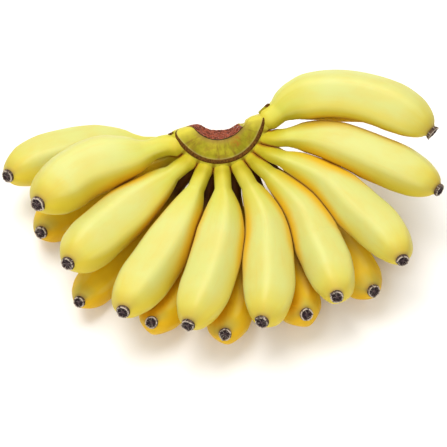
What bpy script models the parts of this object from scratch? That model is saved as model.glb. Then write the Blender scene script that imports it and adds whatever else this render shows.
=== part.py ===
"""A hand of apple bananas, lying on its lower fingers with the crown raised.

Eighteen fingers grow in two rows from one crown. Each finger is its own solid, and so is the dried flower
end on its tip. Units are metres, +Z is up, and the hand lies on the plane z = 0.
"""
import math
from dataclasses import dataclass

import bmesh
import bpy
import numpy as np

MM = 0.001

# The hand's own frame: the fan of fingers slopes down and forwards from the crown
FAN_SLOPE = 38.0              # degrees from level
HAND_PLACE = (-0.8 * MM, 57.1 * MM, 76.0 * MM)    # where the fan's axis stands, above and behind the origin
SEAT_RADIUS = 31.6 * MM       # distance from that axis to the start of each stalk
ROW_OFFSET = {"top": 6.0 * MM, "under": -7.0 * MM}   # height of each row's stalks along the axis
GAP = 0.4 * MM                # clearance between neighbours

# The crown, a cushion of stalk tissue round the cut. Its radii are taken from its own middle
CROWN_BACK = 4.0 * MM         # how far that middle lies behind the fan's axis
SCAR_RADIUS = 32.0 * MM       # outer edge of the scar
WEB_RADIUS = 37.0 * MM        # wall of the fused stalk bases, which the free stalks grow from
CROWN_FROM, CROWN_TO = -72.0, 97.0   # degrees round the middle, 0 at the front
CROWN_END_ROUND = 9.0         # degrees over which each end of the crown rounds off
CROWN_END_SIZE = 0.5          # size of the section at the very ends
SKEW, SKEW_FROM = 13.0, 60.0  # how far the inner side falls short at the right end, and from where
CROWN_STEPS = 30
SCAR_WIDTH = 2.8 * MM         # band left by the fallen bract
SCAR_HEIGHT = 0.7 * MM
SCAR_EDGE = 0.6 * MM          # width of the slopes at its sides
CROWN_TOP = 15.0 * MM         # heights along the hand's axis
CROWN_FLOOR = -17.0 * MM
SKIN_DROP = 2.4 * MM          # from the top down to the skin beside the scar
SKIN_SWELL = 0.8 * MM         # from the top down to the middle of the skin
WEB_HEIGHTS = (-15.0 * MM, -8.0 * MM, 0.0, 7.6 * MM)
WEB_TOP = 10.6 * MM
WEB_BEVEL = 1.2 * MM          # how far the web's upper edge stands back
WEB_RISE = 1.0 * MM           # from that edge up to the scar
RIM_WIDTH, RIM_DROP = 1.2 * MM, 0.8 * MM           # rounded edge at the rim of the cut
CUT_RIM, CUT_RIM_SPREAD = 15.2 * MM, 4.6 * MM      # rim of the cut: at its middle, and more towards its ends
CUT_FOOT, CUT_FOOT_SPREAD = 9.9 * MM, 7.5 * MM     # foot of the cut, likewise
CUT_FOOT_HEIGHT = -7.0 * MM
CUT_END_FROM, CUT_END_TO = 71.0, 79.0   # degrees over which the cut closes at the right end
CUT_SHARES = (0.25, 0.5, 0.75, 1.0)   # places of the points down the cut
CUT_HOLLOW = 1.2              # above 1 the cut bellies in
HEEL_WIDTH, HEEL_RISE = 2.5 * MM, 5.0 * MM         # rounded edge under the foot of the cut
FLOOR_RISE = 1.0 * MM         # how much the crown's underside rises towards that edge
FLOOR_INSET = 6.0 * MM        # where the underside turns up to the web

# Fingers
FINGER_SIDES = 15
RIDGES = 5                    # soft corners round a finger
RIDGE_DEPTH = 0.028           # as a share of the finger's radius, with a flat on the inner side
RIDGE_END = 0.9               # share of the length where the ridges fade out
BASE_SHARE = 0.41             # stalk thickness at the crown, as a share of the girth
STALK_SHARE = 0.34
SHOULDER_PLACES = (0.0, 0.07, 0.16, 0.28)     # past the neck, in shares of the length
SHOULDER_SHARES = (0.45, 0.65, 0.82, 0.97)
FULL_PLACE = 0.60
END_PLACES = (0.74, 0.86, 0.93, 0.975, 1.0)
END_SHARES = (1.0, 0.89, 0.70, 0.48, 0.27)
HEEL_FROM, HEEL_PEAK, HEEL_TO = 0.04, 0.28, 0.66
TIP_FROM = 0.66               # where the extra turn of the tip begins
HOOK_FROM = 0.74              # where the tip begins to lean to one side

# Dried flower ends
FLOWER_SIDES = 10
FLOWER_LENGTH = 2.6 * MM
FLOWER_FOOT, FLOWER_RIM = 0.94, 0.92   # radii at the foot and at the rim, over the seat radius
FLOWER_WAIST = 0.5            # share of the length where the cup is widest
CRATER_DEPTH = 1.0 * MM
CRATER_SHARE = 0.62           # width of the crater over seat radius

# Halvings used to find how far a point may stand out from its own middle line
HALVINGS = 14
REACH = 0.045                 # metres within which another finger counts as a neighbour
SHARP_FROM = 50.0             # degrees between faces from which an edge stays sharp


@dataclass
class Finger:
    """One finger: where its stalk leaves the crown, how it fans out, and how it curves.

    seat is the angle of its stalk round the crown and fan the way it first points, both 0 at the front
    and positive to the right. lift tips it out of the fan, bend is how far it turns from stalk to tip,
    swing leans that turn sideways, and tip is the extra turn close to the end. Angles are in degrees,
    and length and girth in millimetres.
    """
    row: str
    number: int
    seat: float
    fan: float
    lift: float
    bend: float
    swing: float
    tip: float
    length: float
    girth: float              # largest radius
    neck: float = 0.20        # share of the length that is stalk
    heel: float = 0.10        # how far the back swells past the stalk, as a share of girth
    hook: float = 0.0         # how far the end leans to one side, as a share of girth
    fill: float = 1.0         # above 1 the body fills out more slowly past the neck
    stalk: float = 1.0        # how thick the stalk is, over the usual share

    @property
    def name(self):
        return f"{self.row}_{self.number}"


FINGERS = [
    Finger("top", 1, seat=-61, fan=-79, lift=-15, bend=63, swing=-55, tip=3,
           length=109, girth=19.6, neck=0.21, heel=-0.25, hook=0.45, stalk=1.1),
    Finger("top", 2, seat=-37, fan=-50.5, lift=-1.5, bend=50, swing=0, tip=6,
           length=118, girth=17.9, neck=0.17, fill=1.1),
    Finger("top", 3, seat=-16.5, fan=-19.5, lift=5, bend=53, swing=21, tip=1,
           length=125.5, girth=17.3, neck=0.17, heel=0, hook=-0.2, fill=1.2),
    Finger("top", 4, seat=5, fan=9.5, lift=13, bend=53, swing=30, tip=-3,
           length=123, girth=17.1, neck=0.15, fill=0.9),
    Finger("top", 5, seat=26, fan=29.5, lift=7.5, bend=55, swing=30, tip=12,
           length=124, girth=17.2, neck=0.17, heel=0.35, fill=1.2),
    Finger("top", 6, seat=43, fan=47, lift=-0.5, bend=56, swing=29, tip=22,
           length=128, girth=16.5, neck=0.18, heel=0.4, hook=-0.25, fill=1.5),
    Finger("top", 7, seat=57, fan=66.5, lift=3, bend=35, swing=33, tip=27,
           length=134, girth=16.3, neck=0.18, heel=0.45, hook=-0.15, fill=1.4),
    Finger("top", 8, seat=70, fan=87.5, lift=-4, bend=42, swing=49, tip=4,
           length=128.5, girth=15.9, neck=0.16, heel=0.25, hook=-0.1, fill=1.0, stalk=1.15),
    Finger("top", 9, seat=90, fan=122, lift=-7, bend=88, swing=72, tip=-7,
           length=124, girth=16.5, neck=0.09, heel=0.15, fill=0.7, stalk=1.45),
    Finger("under", 1, seat=-57, fan=-79.5, lift=-32.5, bend=55, swing=-22, tip=31,
           length=132, girth=17.4, neck=0.26, heel=0, hook=0.1, fill=0.8),
    Finger("under", 2, seat=-44, fan=-62, lift=-42.5, bend=79, swing=-6, tip=29,
           length=132, girth=17.1, neck=0.22),
    Finger("under", 3, seat=-27, fan=-40, lift=-21, bend=71, swing=0, tip=15,
           length=139, girth=15.2, hook=0.1),
    Finger("under", 4, seat=-6, fan=-16, lift=-11.5, bend=69, swing=12, tip=28,
           length=135.5, girth=16.2),
    Finger("under", 5, seat=15.5, fan=2, lift=-10, bend=69, swing=8, tip=24,
           length=136.5, girth=16, hook=-0.05, fill=0.85, stalk=1.2),
    Finger("under", 6, seat=34.5, fan=20.5, lift=-16.5, bend=74, swing=-1, tip=29,
           length=136.5, girth=16.4, neck=0.21, heel=0.15, hook=-0.15, fill=0.85, stalk=1.15),
    Finger("under", 7, seat=50, fan=40.5, lift=-23, bend=71, swing=2, tip=18,
           length=141, girth=16.9, neck=0.21, hook=-0.15),
    Finger("under", 8, seat=61, fan=54, lift=-40, bend=82, swing=7, tip=15,
           length=142, girth=14.9, neck=0.21, hook=-0.15),
    Finger("under", 9, seat=85, fan=93.5, lift=-33.5, bend=64, swing=49, tip=-3,
           length=112.5, girth=13.5, neck=0.21, hook=-0.05),
]

# Places along a finger where its rings of points lie, as shares of its length
RING_PLACES = [0.045, 0.10, 0.15, 0.20, 0.26, 0.33, 0.42, 0.51, 0.60, 0.69, 0.77, 0.84, 0.90, 0.955, 1.0]


def hand_axes():
    """Right, front and axis of the hand: the fan lies in right and front, and the axis rises from it."""
    slope = math.radians(FAN_SLOPE)
    right = np.array([1.0, 0.0, 0.0])
    front = np.array([0.0, -math.cos(slope), -math.sin(slope)])
    return right, front, np.cross(front, right)


RIGHT, FRONT, AXIS = hand_axes()
HAND_MIDDLE = np.array(HAND_PLACE)
CROWN_MIDDLE = HAND_MIDDLE - CROWN_BACK * FRONT


def radial(degrees):
    """Direction away from the hand's axis, in the plane of the fan."""
    angle = math.radians(degrees)
    return math.sin(angle) * RIGHT + math.cos(angle) * FRONT


def smooth_curve(places, values, at):
    """Monotone cubic through the given values, so the outline has no bumps between them."""
    x, y = np.array(places), np.array(values)
    step, slope = np.diff(x), np.diff(y) / np.diff(x)
    tangent = np.zeros_like(y)
    both = slope[:-1] * slope[1:]
    tangent[1:-1] = np.where(both > 0, 2 * both / np.where(both > 0, slope[:-1] + slope[1:], 1), 0)
    k = np.clip(np.searchsorted(x, at, side="right") - 1, 0, len(x) - 2)
    t = (at - x[k]) / step[k]
    return (y[k] * (1 + 2 * t) * (1 - t) ** 2 + tangent[k] * step[k] * t * (1 - t) ** 2
            + y[k + 1] * t * t * (3 - 2 * t) + tangent[k + 1] * step[k] * t * t * (t - 1))


def radius_along(finger, at):
    """Radius at a share of the length: a slim stalk, a full body and a blunt tip."""
    neck, stalk = finger.neck, STALK_SHARE * finger.stalk
    places = [0.0, 0.3 * neck, 0.75 * neck]
    shares = [BASE_SHARE, stalk, stalk]
    places += [neck + place * finger.fill for place in SHOULDER_PLACES]
    places += [FULL_PLACE, *END_PLACES]
    shares += [max(stalk, share) for share in SHOULDER_SHARES]
    shares += [1.0, *END_SHARES]
    return finger.girth * MM * smooth_curve(places, shares, np.asarray(at, dtype=float))


def smooth_step(x):
    x = np.clip(x, 0, 1)
    return x * x * (3 - 2 * x)


class Spine:
    """The middle line of a finger, with its direction, inner side and flank at each place."""

    SAMPLES = 81

    def __init__(self, finger):
        out = radial(finger.fan)
        fan, swing = math.radians(finger.fan), math.radians(finger.swing)
        inward = -(math.cos(fan) * RIGHT - math.sin(fan) * FRONT)
        curl = math.cos(swing) * AXIS + math.sin(swing) * inward
        self.places = np.linspace(0, 1, self.SAMPLES)
        tip_turn = smooth_step((self.places - TIP_FROM) / (1 - TIP_FROM))
        angle = np.radians(finger.lift + finger.bend * self.places + finger.tip * tip_turn)
        cosine, sine = np.cos(angle)[:, None], np.sin(angle)[:, None]
        way, inner = cosine * out + sine * curl, cosine * curl - sine * out
        flank = np.cross(out, curl)
        start = HAND_MIDDLE + SEAT_RADIUS * radial(finger.seat) + ROW_OFFSET[finger.row] * AXIS
        steps = (way[1:] + way[:-1]) / 2 * finger.length * MM / (self.SAMPLES - 1)
        points = np.vstack([start, start + np.cumsum(steps, axis=0)])
        peak = HEEL_FROM + (HEEL_PEAK - HEEL_FROM) * finger.fill
        swell = (smooth_step((self.places - HEEL_FROM) / (peak - HEEL_FROM))
                 * smooth_step((HEEL_TO - self.places) / (HEEL_TO - peak)))
        lean = np.clip((self.places - HOOK_FROM) / (1 - HOOK_FROM), 0, 1) ** 2
        girth = finger.girth * MM
        self.points = points - (finger.heel * girth * swell)[:, None] * inner
        self.points += (finger.hook * girth * lean)[:, None] * flank
        way = np.gradient(self.points, axis=0)
        self.along = way / np.linalg.norm(way, axis=1, keepdims=True)
        inner = inner - (inner * self.along).sum(axis=1)[:, None] * self.along
        self.inner = inner / np.linalg.norm(inner, axis=1, keepdims=True)
        self.flank = np.cross(self.along, self.inner)
        self.radii = radius_along(finger, self.places)

    def at(self, share, line):
        return np.stack([np.interp(share, self.places, line[:, k]) for k in range(3)], axis=-1)

    def clearance(self, points):
        """Distance from each point to the finger's skin: negative inside."""
        apart = np.linalg.norm(points[:, None] - self.points[None], axis=2)
        return (apart - self.radii).min(axis=1)


SPINES = {finger.name: Spine(finger) for finger in FINGERS}


def reach_wall(points, direction):
    """Slide points along a direction to the wall of the fused stalk bases, plus the gap."""
    fan_plane = np.stack([RIGHT, FRONT], axis=-1)
    place, way = (points - CROWN_MIDDLE) @ fan_plane, direction @ fan_plane
    a, b = (way * way).sum(axis=-1), (place * way).sum(axis=-1)
    c = (place * place).sum(axis=-1) - (WEB_RADIUS + GAP) ** 2
    return points + ((-b + np.sqrt(b * b - a * c)) / a)[:, None] * direction


def outwards(points):
    """Direction from the crown's middle to each point, in the plane of the fan."""
    fan_plane = np.stack([RIGHT, FRONT])
    place = (points - CROWN_MIDDLE) @ fan_plane.T
    return (place / np.linalg.norm(place, axis=-1, keepdims=True)) @ fan_plane


def make_room(name, middles, points):
    """Draw points in towards their own middle line until no neighbour is nearer, and off the table."""
    own = SPINES[name]
    neighbours = [spine for other, spine in SPINES.items() if other != name
                  and np.linalg.norm(own.points[:, None] - spine.points[None], axis=2).min() < REACH]

    def allowed(share):
        trial = middles + share[:, None] * (points - middles)
        mine = own.clearance(trial)
        good = np.ones(len(trial), dtype=bool)
        for spine in neighbours:
            good &= spine.clearance(trial) - mine >= GAP
        return good

    low, high = np.zeros(len(points)), np.ones(len(points))
    fits = allowed(high)
    for _ in range(HALVINGS):
        half = (low + high) / 2
        good = allowed(half)
        low, high = np.where(good, half, low), np.where(good, high, half)
    share = np.where(fits, 1.0, low)
    moved = middles + share[:, None] * (points - middles)
    moved[:, 2] = np.maximum(moved[:, 2], 0.0)
    return moved


def finger_rings(finger, places, sides):
    """Rings of points from the crown to the tip, with soft ridges, and the middle of each ring."""
    spine = SPINES[finger.name]
    middles, rings = [], []
    turn = 2 * math.pi * np.arange(sides) / sides
    for share in places:
        middle, inner, flank = (spine.at(share, line) for line in (spine.points, spine.inner, spine.flank))
        ridge = -RIDGE_DEPTH * math.sin(math.pi * min(1.0, share / RIDGE_END)) * np.cos(RIDGES * turn)
        radius = radius_along(finger, share) * (1 + ridge)
        ring = middle + (radius * np.cos(turn))[:, None] * inner + (radius * np.sin(turn))[:, None] * flank
        middles.append(middle)
        rings.append(ring)
    return np.array(middles), np.array(rings)


def material(name, colour, roughness):
    made = bpy.data.materials.new(name)
    made.use_nodes = True
    shader = made.node_tree.nodes["Principled BSDF"]
    shader.inputs["Base Color"].default_value = (*colour, 1.0)
    shader.inputs["Roughness"].default_value = roughness
    shader.inputs["Metallic"].default_value = 0.0
    return made


def tube_object(name, rings, start, end, finish):
    """A closed tube through rings of points, with a middle point closing each end."""
    mesh = bmesh.new()
    loops = [[mesh.verts.new(point) for point in ring] for ring in rings]
    for before, after in zip(loops, loops[1:]):
        for k in range(len(before)):
            j = (k + 1) % len(before)
            mesh.faces.new((before[k], before[j], after[j], after[k]))
    for loop, point, flip in ((loops[0], start, True), (loops[-1], end, False)):
        tip = mesh.verts.new(point)
        for k in range(len(loop)):
            j = (k + 1) % len(loop)
            mesh.faces.new((loop[j], loop[k], tip) if flip else (loop[k], loop[j], tip))
    bmesh.ops.triangulate(mesh, faces=mesh.faces, quad_method="SHORT_EDGE")
    bmesh.ops.recalc_face_normals(mesh, faces=mesh.faces)
    data = bpy.data.meshes.new(name)
    mesh.to_mesh(data)
    mesh.free()
    data.shade_smooth()
    data.set_sharp_from_angle(angle=math.radians(SHARP_FROM))
    data.materials.append(finish)
    made = bpy.data.objects.new(name, data)
    bpy.context.scene.collection.objects.link(made)
    return made


def make_finger(finger, peel):
    spine = SPINES[finger.name]
    middles, rings = finger_rings(finger, RING_PLACES, FINGER_SIDES)
    rings[0] = reach_wall(rings[0], spine.along[0])
    middles[0] = reach_wall(middles[:1], spine.along[0])[0]
    centres = np.repeat(middles, FINGER_SIDES, axis=0)
    rings = make_room(finger.name, centres, rings.reshape(-1, 3)).reshape(rings.shape)
    rings[0] = reach_wall(rings[0], outwards(rings[0]))
    return tube_object(f"finger_{finger.name}", rings, middles[0], rings[-1].mean(axis=0), peel)


def make_flower_end(finger, husk):
    """The short dried cup that the flower leaves on the tip."""
    spine = SPINES[finger.name]
    along, inner, flank = spine.along[-1], spine.inner[-1], spine.flank[-1]
    seat = finger.girth * MM * END_SHARES[-1]
    rows = [(GAP, seat * FLOWER_FOOT), (FLOWER_LENGTH * FLOWER_WAIST, seat)]
    rows += [(FLOWER_LENGTH, seat * FLOWER_RIM), (FLOWER_LENGTH, seat * CRATER_SHARE)]
    turn = 2 * math.pi * np.arange(FLOWER_SIDES) / FLOWER_SIDES
    spokes = np.cos(turn)[:, None] * inner + np.sin(turn)[:, None] * flank
    rings = [spine.points[-1] + height * along + radius * spokes for height, radius in rows]
    start = spine.points[-1] + GAP * along
    crater = spine.points[-1] + (FLOWER_LENGTH - CRATER_DEPTH) * along
    return tube_object(f"flower_end_{finger.name}", rings, start, crater, husk)


def crown_outline(angle):
    """The crown's section at an angle, as distance from its middle and height along the axis.

    It runs up the web, over the scar and the top to the rim, down the cut and back under the crown.
    The cut is steep towards the crown's ends and slopes in at its middle.
    """
    spread = (angle / 90.0) ** 2
    rim, foot = CUT_RIM + CUT_RIM_SPREAD * spread, CUT_FOOT + CUT_FOOT_SPREAD * spread
    foot += (rim - foot) * float(smooth_step((angle - CUT_END_FROM) / (CUT_END_TO - CUT_END_FROM)))
    scar, scar_in = SCAR_RADIUS, SCAR_RADIUS - SCAR_WIDTH
    skin = CROWN_TOP - SKIN_DROP
    web = [(WEB_RADIUS, height) for height in WEB_HEIGHTS]
    web += [(WEB_RADIUS - WEB_BEVEL, WEB_TOP), (scar, WEB_TOP + WEB_RISE)]
    band = [(scar - SCAR_EDGE, skin + SCAR_HEIGHT), (scar_in, skin + SCAR_HEIGHT)]
    band += [(scar_in - SCAR_EDGE, skin)]
    top = [((scar_in + rim) / 2, CROWN_TOP - SKIN_SWELL), (rim + RIM_WIDTH, CROWN_TOP)]
    top += [(rim, CROWN_TOP - RIM_DROP)]
    drop = CROWN_TOP - CUT_FOOT_HEIGHT
    cut = [(rim + (foot - rim) * share, CROWN_TOP - drop * share ** CUT_HOLLOW) for share in CUT_SHARES]
    under = [(foot + HEEL_WIDTH, CROWN_FLOOR + HEEL_RISE), ((foot + scar) / 2, CROWN_FLOOR + FLOOR_RISE)]
    under += [(scar - FLOOR_INSET, CROWN_FLOOR)]
    return np.array(web + band + top + cut + under)


def crown_ring(angle, section):
    """Points of a section placed at its angle. At the right end its inner side falls short."""
    skew = SKEW * float(smooth_step((angle - SKEW_FROM) / (CROWN_TO - SKEW_FROM)))
    inwards = (WEB_RADIUS - section[:, 0]) / (WEB_RADIUS - CUT_FOOT)
    ways = np.array([radial(angle - skew * share) for share in inwards])
    return CROWN_MIDDLE + section[:, :1] * ways + section[:, 1:] * AXIS


def make_crown(flesh):
    """Sweep the section round the crown's middle, and round off both ends."""
    rings, caps = [], []
    for angle in np.linspace(CROWN_FROM, CROWN_TO, CROWN_STEPS):
        outline = crown_outline(angle)
        middle = (outline.min(axis=0) + outline.max(axis=0)) / 2
        inset = min(angle - CROWN_FROM, CROWN_TO - angle) / CROWN_END_ROUND
        rounding = math.sqrt(1 - (1 - min(inset, 1.0)) ** 2)
        section = middle + (CROWN_END_SIZE + (1 - CROWN_END_SIZE) * rounding) * (outline - middle)
        rings.append(crown_ring(angle, section))
        caps.append(crown_ring(angle, middle[None])[0])
    return tube_object("crown", rings, caps[0], caps[-1], flesh)


def main():
    for item in list(bpy.data.objects):
        bpy.data.objects.remove(item, do_unlink=True)
    top_peel = material("peel_top", (0.84, 0.70, 0.10), 0.42)
    under_peel = material("peel_under", (0.76, 0.52, 0.05), 0.45)
    husk = material("dried_flower", (0.07, 0.04, 0.04), 0.85)
    flesh = material("crown_tissue", (0.36, 0.33, 0.07), 0.55)
    make_crown(flesh)
    for finger in FINGERS:
        make_finger(finger, top_peel if finger.row == "top" else under_peel)
        make_flower_end(finger, husk)


main()
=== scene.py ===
# %% [markdown]
# # A hand of apple bananas
# This script dresses a imported model of a hand of short, plump bananas. The hand lies on its lower fingers on
# a pale studio floor, and we look down on the side that curls towards us. We build every visible surface as
# mesh, and every colour from shader nodes. First we load the solids.

# %% Load the frame
import math
import random

import bmesh
import bpy
import numpy as np
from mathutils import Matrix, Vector, noise


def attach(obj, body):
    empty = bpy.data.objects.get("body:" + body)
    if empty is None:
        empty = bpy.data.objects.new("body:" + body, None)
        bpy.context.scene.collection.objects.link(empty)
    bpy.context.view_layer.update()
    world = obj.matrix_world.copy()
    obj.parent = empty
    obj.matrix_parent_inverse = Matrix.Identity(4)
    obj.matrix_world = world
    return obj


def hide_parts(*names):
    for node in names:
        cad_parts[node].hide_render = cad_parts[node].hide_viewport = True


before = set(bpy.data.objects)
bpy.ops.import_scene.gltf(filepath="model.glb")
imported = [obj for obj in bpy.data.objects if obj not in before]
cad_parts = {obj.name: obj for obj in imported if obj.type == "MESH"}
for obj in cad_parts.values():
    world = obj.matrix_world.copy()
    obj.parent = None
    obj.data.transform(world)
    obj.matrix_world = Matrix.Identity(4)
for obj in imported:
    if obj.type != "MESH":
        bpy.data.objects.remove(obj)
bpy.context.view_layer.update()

MM = 0.001
print("solids to dress:", len(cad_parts))

# %% [markdown]
# ## The camera
# The photograph looks down on the hand at a steep angle from a good way off, so its lines hardly converge.
# A long lens from about a metre away gives the same picture. The middle of the crown is the landmark: we
# know where it is in space and where it shows in the picture, and we slide the camera until both agree.

# %% Place the camera
HAND_PLACE = np.array([-0.8, 57.1, 76.0]) * MM   # where the fan's axis stands
PICTURE = 447                       # pixels along each side of the picture
HAND_PIXEL = (218.0, 122.0)
ELEVATION = math.radians(58.0)
DISTANCE = 1.10
PIXEL = 0.69 * MM                   # what one pixel spans at the crown
SENSOR = 36.0

look = np.array([0.0, math.cos(ELEVATION), -math.sin(ELEVATION)])
picture_right = np.array([1.0, 0.0, 0.0])
picture_up = np.cross(picture_right, look)
aside = (HAND_PIXEL[0] - PICTURE / 2) * PIXEL
above = (PICTURE / 2 - HAND_PIXEL[1]) * PIXEL
camera_data = bpy.data.cameras.new("camera")
camera_data.sensor_width = SENSOR
camera_data.lens = SENSOR * DISTANCE / (PICTURE * PIXEL)
camera = bpy.data.objects.new("camera", camera_data)
camera.location = HAND_PLACE - look * DISTANCE - picture_right * aside - picture_up * above
camera.rotation_euler = (math.pi / 2 - ELEVATION, 0.0, 0.0)
bpy.context.scene.collection.objects.link(camera)
bpy.context.scene.camera = camera
print("lens", round(camera_data.lens, 1), "mm")

# %% [markdown]
# ## The studio
# A product photograph like this one has a white floor that runs out of sight and big soft lights, so the
# shadows are wide and faint and lie towards us and to the right. We use one large plane for the floor, a
# white world that fills the shadows, and three area lights. Area lights are chosen over spots because their
# reflections on waxy peel are broad and have no hard edge.

# %% Floor, world and lights
FLOOR_SIZE = 8.0
WORLD_STRENGTH = 0.54
LIGHTS_AIM = np.array([0.0, 0.0, 0.04])     # the middle of the hand
floor_mesh = bpy.data.meshes.new("floor")
half = FLOOR_SIZE / 2
floor_corners = [(-half, -half, 0), (half, -half, 0), (half, half, 0), (-half, half, 0)]
floor_mesh.from_pydata(floor_corners, [], [(0, 1, 2, 3)])
floor = bpy.data.objects.new("floor", floor_mesh)
bpy.context.scene.collection.objects.link(floor)
paper = bpy.data.materials.new("floor_paper")
paper.use_nodes = True
paper_shader = paper.node_tree.nodes["Principled BSDF"]
paper_shader.inputs["Base Color"].default_value = (0.94, 0.935, 0.93, 1.0)
paper_shader.inputs["Roughness"].default_value = 0.9
paper_shader.inputs["Specular IOR Level"].default_value = 0.1
floor_mesh.materials.append(paper)

world = bpy.data.worlds.new("studio")
world.use_nodes = True
background = world.node_tree.nodes["Background"]
background.inputs["Color"].default_value = (1.0, 0.99, 0.98, 1.0)
background.inputs["Strength"].default_value = WORLD_STRENGTH
bpy.context.scene.world = world
bpy.context.scene.view_settings.view_transform = "Standard"


def soft_light(name, place, size, power, colour=(1.0, 1.0, 1.0)):
    """An area light at a place, aimed at the middle of the hand."""
    data = bpy.data.lights.new(name, "AREA")
    data.shape = "RECTANGLE"
    data.size, data.size_y = size
    data.energy = power
    data.color = colour
    light = bpy.data.objects.new(name, data)
    light.location = place
    aim = LIGHTS_AIM - np.array(place)
    across = math.atan2(aim[0], -aim[1])
    light.rotation_euler = (math.acos(-aim[2] / np.linalg.norm(aim)), 0.0, math.pi + across)
    bpy.context.scene.collection.objects.link(light)


soft_light("key", place=(-0.20, 0.24, 1.22), size=(0.9, 0.8), power=14.2, colour=(1.0, 0.99, 0.97))
soft_light("front_fill", place=(-0.1, -0.95, 0.95), size=(1.2, 0.8), power=5.8)
soft_light("back_rim", place=(0.5, 0.9, 0.6), size=(0.8, 0.5), power=2.0)

# %% [markdown]
# ## The hand's own frame
# A hand of bananas is a fan. All the stalks leave one crown, which half surrounds a round axis, and the
# fingers spread in two layers, one over the other. So we describe every finger in the hand's own frame:
# "front" slopes down towards us in the middle of the fan, "right" is level, and "axis" stands square on both.

# %% Axes and measures of the hand
FAN_SLOPE = math.radians(38.0)
RIGHT = np.array([1.0, 0.0, 0.0])
FRONT = np.array([0.0, -math.cos(FAN_SLOPE), -math.sin(FAN_SLOPE)])
AXIS = np.cross(FRONT, RIGHT)
SEAT_RADIUS = 31.6 * MM             # distance from the axis to the start of each stalk
CROWN_MIDDLE = HAND_PLACE - 4.0 * MM * FRONT
ROW_OFFSET = {"top": 6.0 * MM, "under": -7.0 * MM}
GAP = 0.25 * MM


def radial(degrees):
    """Direction away from the hand's axis in the plane of the fan, 0 at the front."""
    angle = math.radians(degrees)
    return math.sin(angle) * RIGHT + math.cos(angle) * FRONT


def smooth_step(x):
    x = np.clip(x, 0, 1)
    return x * x * (3 - 2 * x)


print("the fan slopes", round(math.degrees(FAN_SLOPE)), "degrees")

# %% [markdown]
# ## The fingers, one by one
# No two fingers are alike, so each has its own line of measures: seat is where its stalk sits round the
# crown, fan is the way it first points, lift tips it up or down, bend is how far it curls from stalk to tip,
# swing leans that curl sideways, and tip is the extra turn at the end. Length and girth are in millimetres,
# and girth is the largest radius. Neck is the share of the length that is stalk, and stalk is how thick that
# stalk is beside the usual one. Heel is how far the back swells, hook leans the end to one side, and fill is
# how slowly the body fills out past its neck. A table like this is easier to tune by eye than eighteen
# modelled shapes.

# %% The list of fingers
FINGERS = [
    dict(row="top", number=1, seat=-61, fan=-79, lift=-15, bend=63, swing=-55, tip=3,
         length=109, girth=19.6, neck=0.21, heel=-0.25, hook=0.45, stalk=1.1),
    dict(row="top", number=2, seat=-37, fan=-50.5, lift=-1.5, bend=50, swing=0, tip=6,
         length=118, girth=17.9, neck=0.17, fill=1.1),
    dict(row="top", number=3, seat=-16.5, fan=-19.5, lift=5, bend=53, swing=21, tip=1,
         length=125.5, girth=17.3, neck=0.17, heel=0, hook=-0.2, fill=1.2),
    dict(row="top", number=4, seat=5, fan=9.5, lift=13, bend=53, swing=30, tip=-3,
         length=123, girth=17.1, neck=0.15, fill=0.9),
    dict(row="top", number=5, seat=26, fan=29.5, lift=7.5, bend=55, swing=30, tip=12,
         length=124, girth=17.2, neck=0.17, heel=0.35, fill=1.2),
    dict(row="top", number=6, seat=43, fan=47, lift=-0.5, bend=56, swing=29, tip=22,
         length=128, girth=16.5, neck=0.18, heel=0.4, hook=-0.25, fill=1.5),
    dict(row="top", number=7, seat=57, fan=66.5, lift=3, bend=35, swing=33, tip=27,
         length=134, girth=16.3, neck=0.18, heel=0.45, hook=-0.15, fill=1.4),
    dict(row="top", number=8, seat=70, fan=87.5, lift=-4, bend=42, swing=49, tip=4,
         length=128.5, girth=15.9, neck=0.16, heel=0.25, hook=-0.1, fill=1.0, stalk=1.15),
    dict(row="top", number=9, seat=90, fan=122, lift=-7, bend=88, swing=72, tip=-7,
         length=124, girth=16.5, neck=0.09, heel=0.15, fill=0.7, stalk=1.45),
    dict(row="under", number=1, seat=-57, fan=-79.5, lift=-32.5, bend=55, swing=-22, tip=31,
         length=132, girth=17.4, neck=0.26, heel=0, hook=0.1, fill=0.8),
    dict(row="under", number=2, seat=-44, fan=-62, lift=-42.5, bend=79, swing=-6, tip=29,
         length=132, girth=17.1, neck=0.22),
    dict(row="under", number=3, seat=-27, fan=-40, lift=-21, bend=71, swing=0, tip=15,
         length=139, girth=15.2, hook=0.1),
    dict(row="under", number=4, seat=-6, fan=-16, lift=-11.5, bend=69, swing=12, tip=28,
         length=135.5, girth=16.2),
    dict(row="under", number=5, seat=15.5, fan=2, lift=-10, bend=69, swing=8, tip=24,
         length=136.5, girth=16, hook=-0.05, fill=0.85, stalk=1.2),
    dict(row="under", number=6, seat=34.5, fan=20.5, lift=-16.5, bend=74, swing=-1, tip=29,
         length=136.5, girth=16.4, neck=0.21, heel=0.15, hook=-0.15, fill=0.85, stalk=1.15),
    dict(row="under", number=7, seat=50, fan=40.5, lift=-23, bend=71, swing=2, tip=18,
         length=141, girth=16.9, neck=0.21, hook=-0.15),
    dict(row="under", number=8, seat=61, fan=54, lift=-40, bend=82, swing=7, tip=15,
         length=142, girth=14.9, neck=0.21, hook=-0.15),
    dict(row="under", number=9, seat=85, fan=93.5, lift=-33.5, bend=64, swing=49, tip=-3,
         length=112.5, girth=13.5, neck=0.21, hook=-0.05),
]
USUAL = dict(neck=0.20, heel=0.10, hook=0.0, fill=1.0, stalk=1.0)
FINGERS = [{**USUAL, **finger, "name": f"{finger['row']}_{finger['number']}"} for finger in FINGERS]
print("fingers:", len(FINGERS))

# %% [markdown]
# ## How thick a finger is along its length
# A banana is a slim stalk, a body that fills out quickly, a long full stretch and a blunt tip. We write that
# as a few shares of the girth and draw a monotone cubic through them. A monotone curve never overshoots its
# points, so the outline gets no waist or bump that we didn't ask for.

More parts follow.
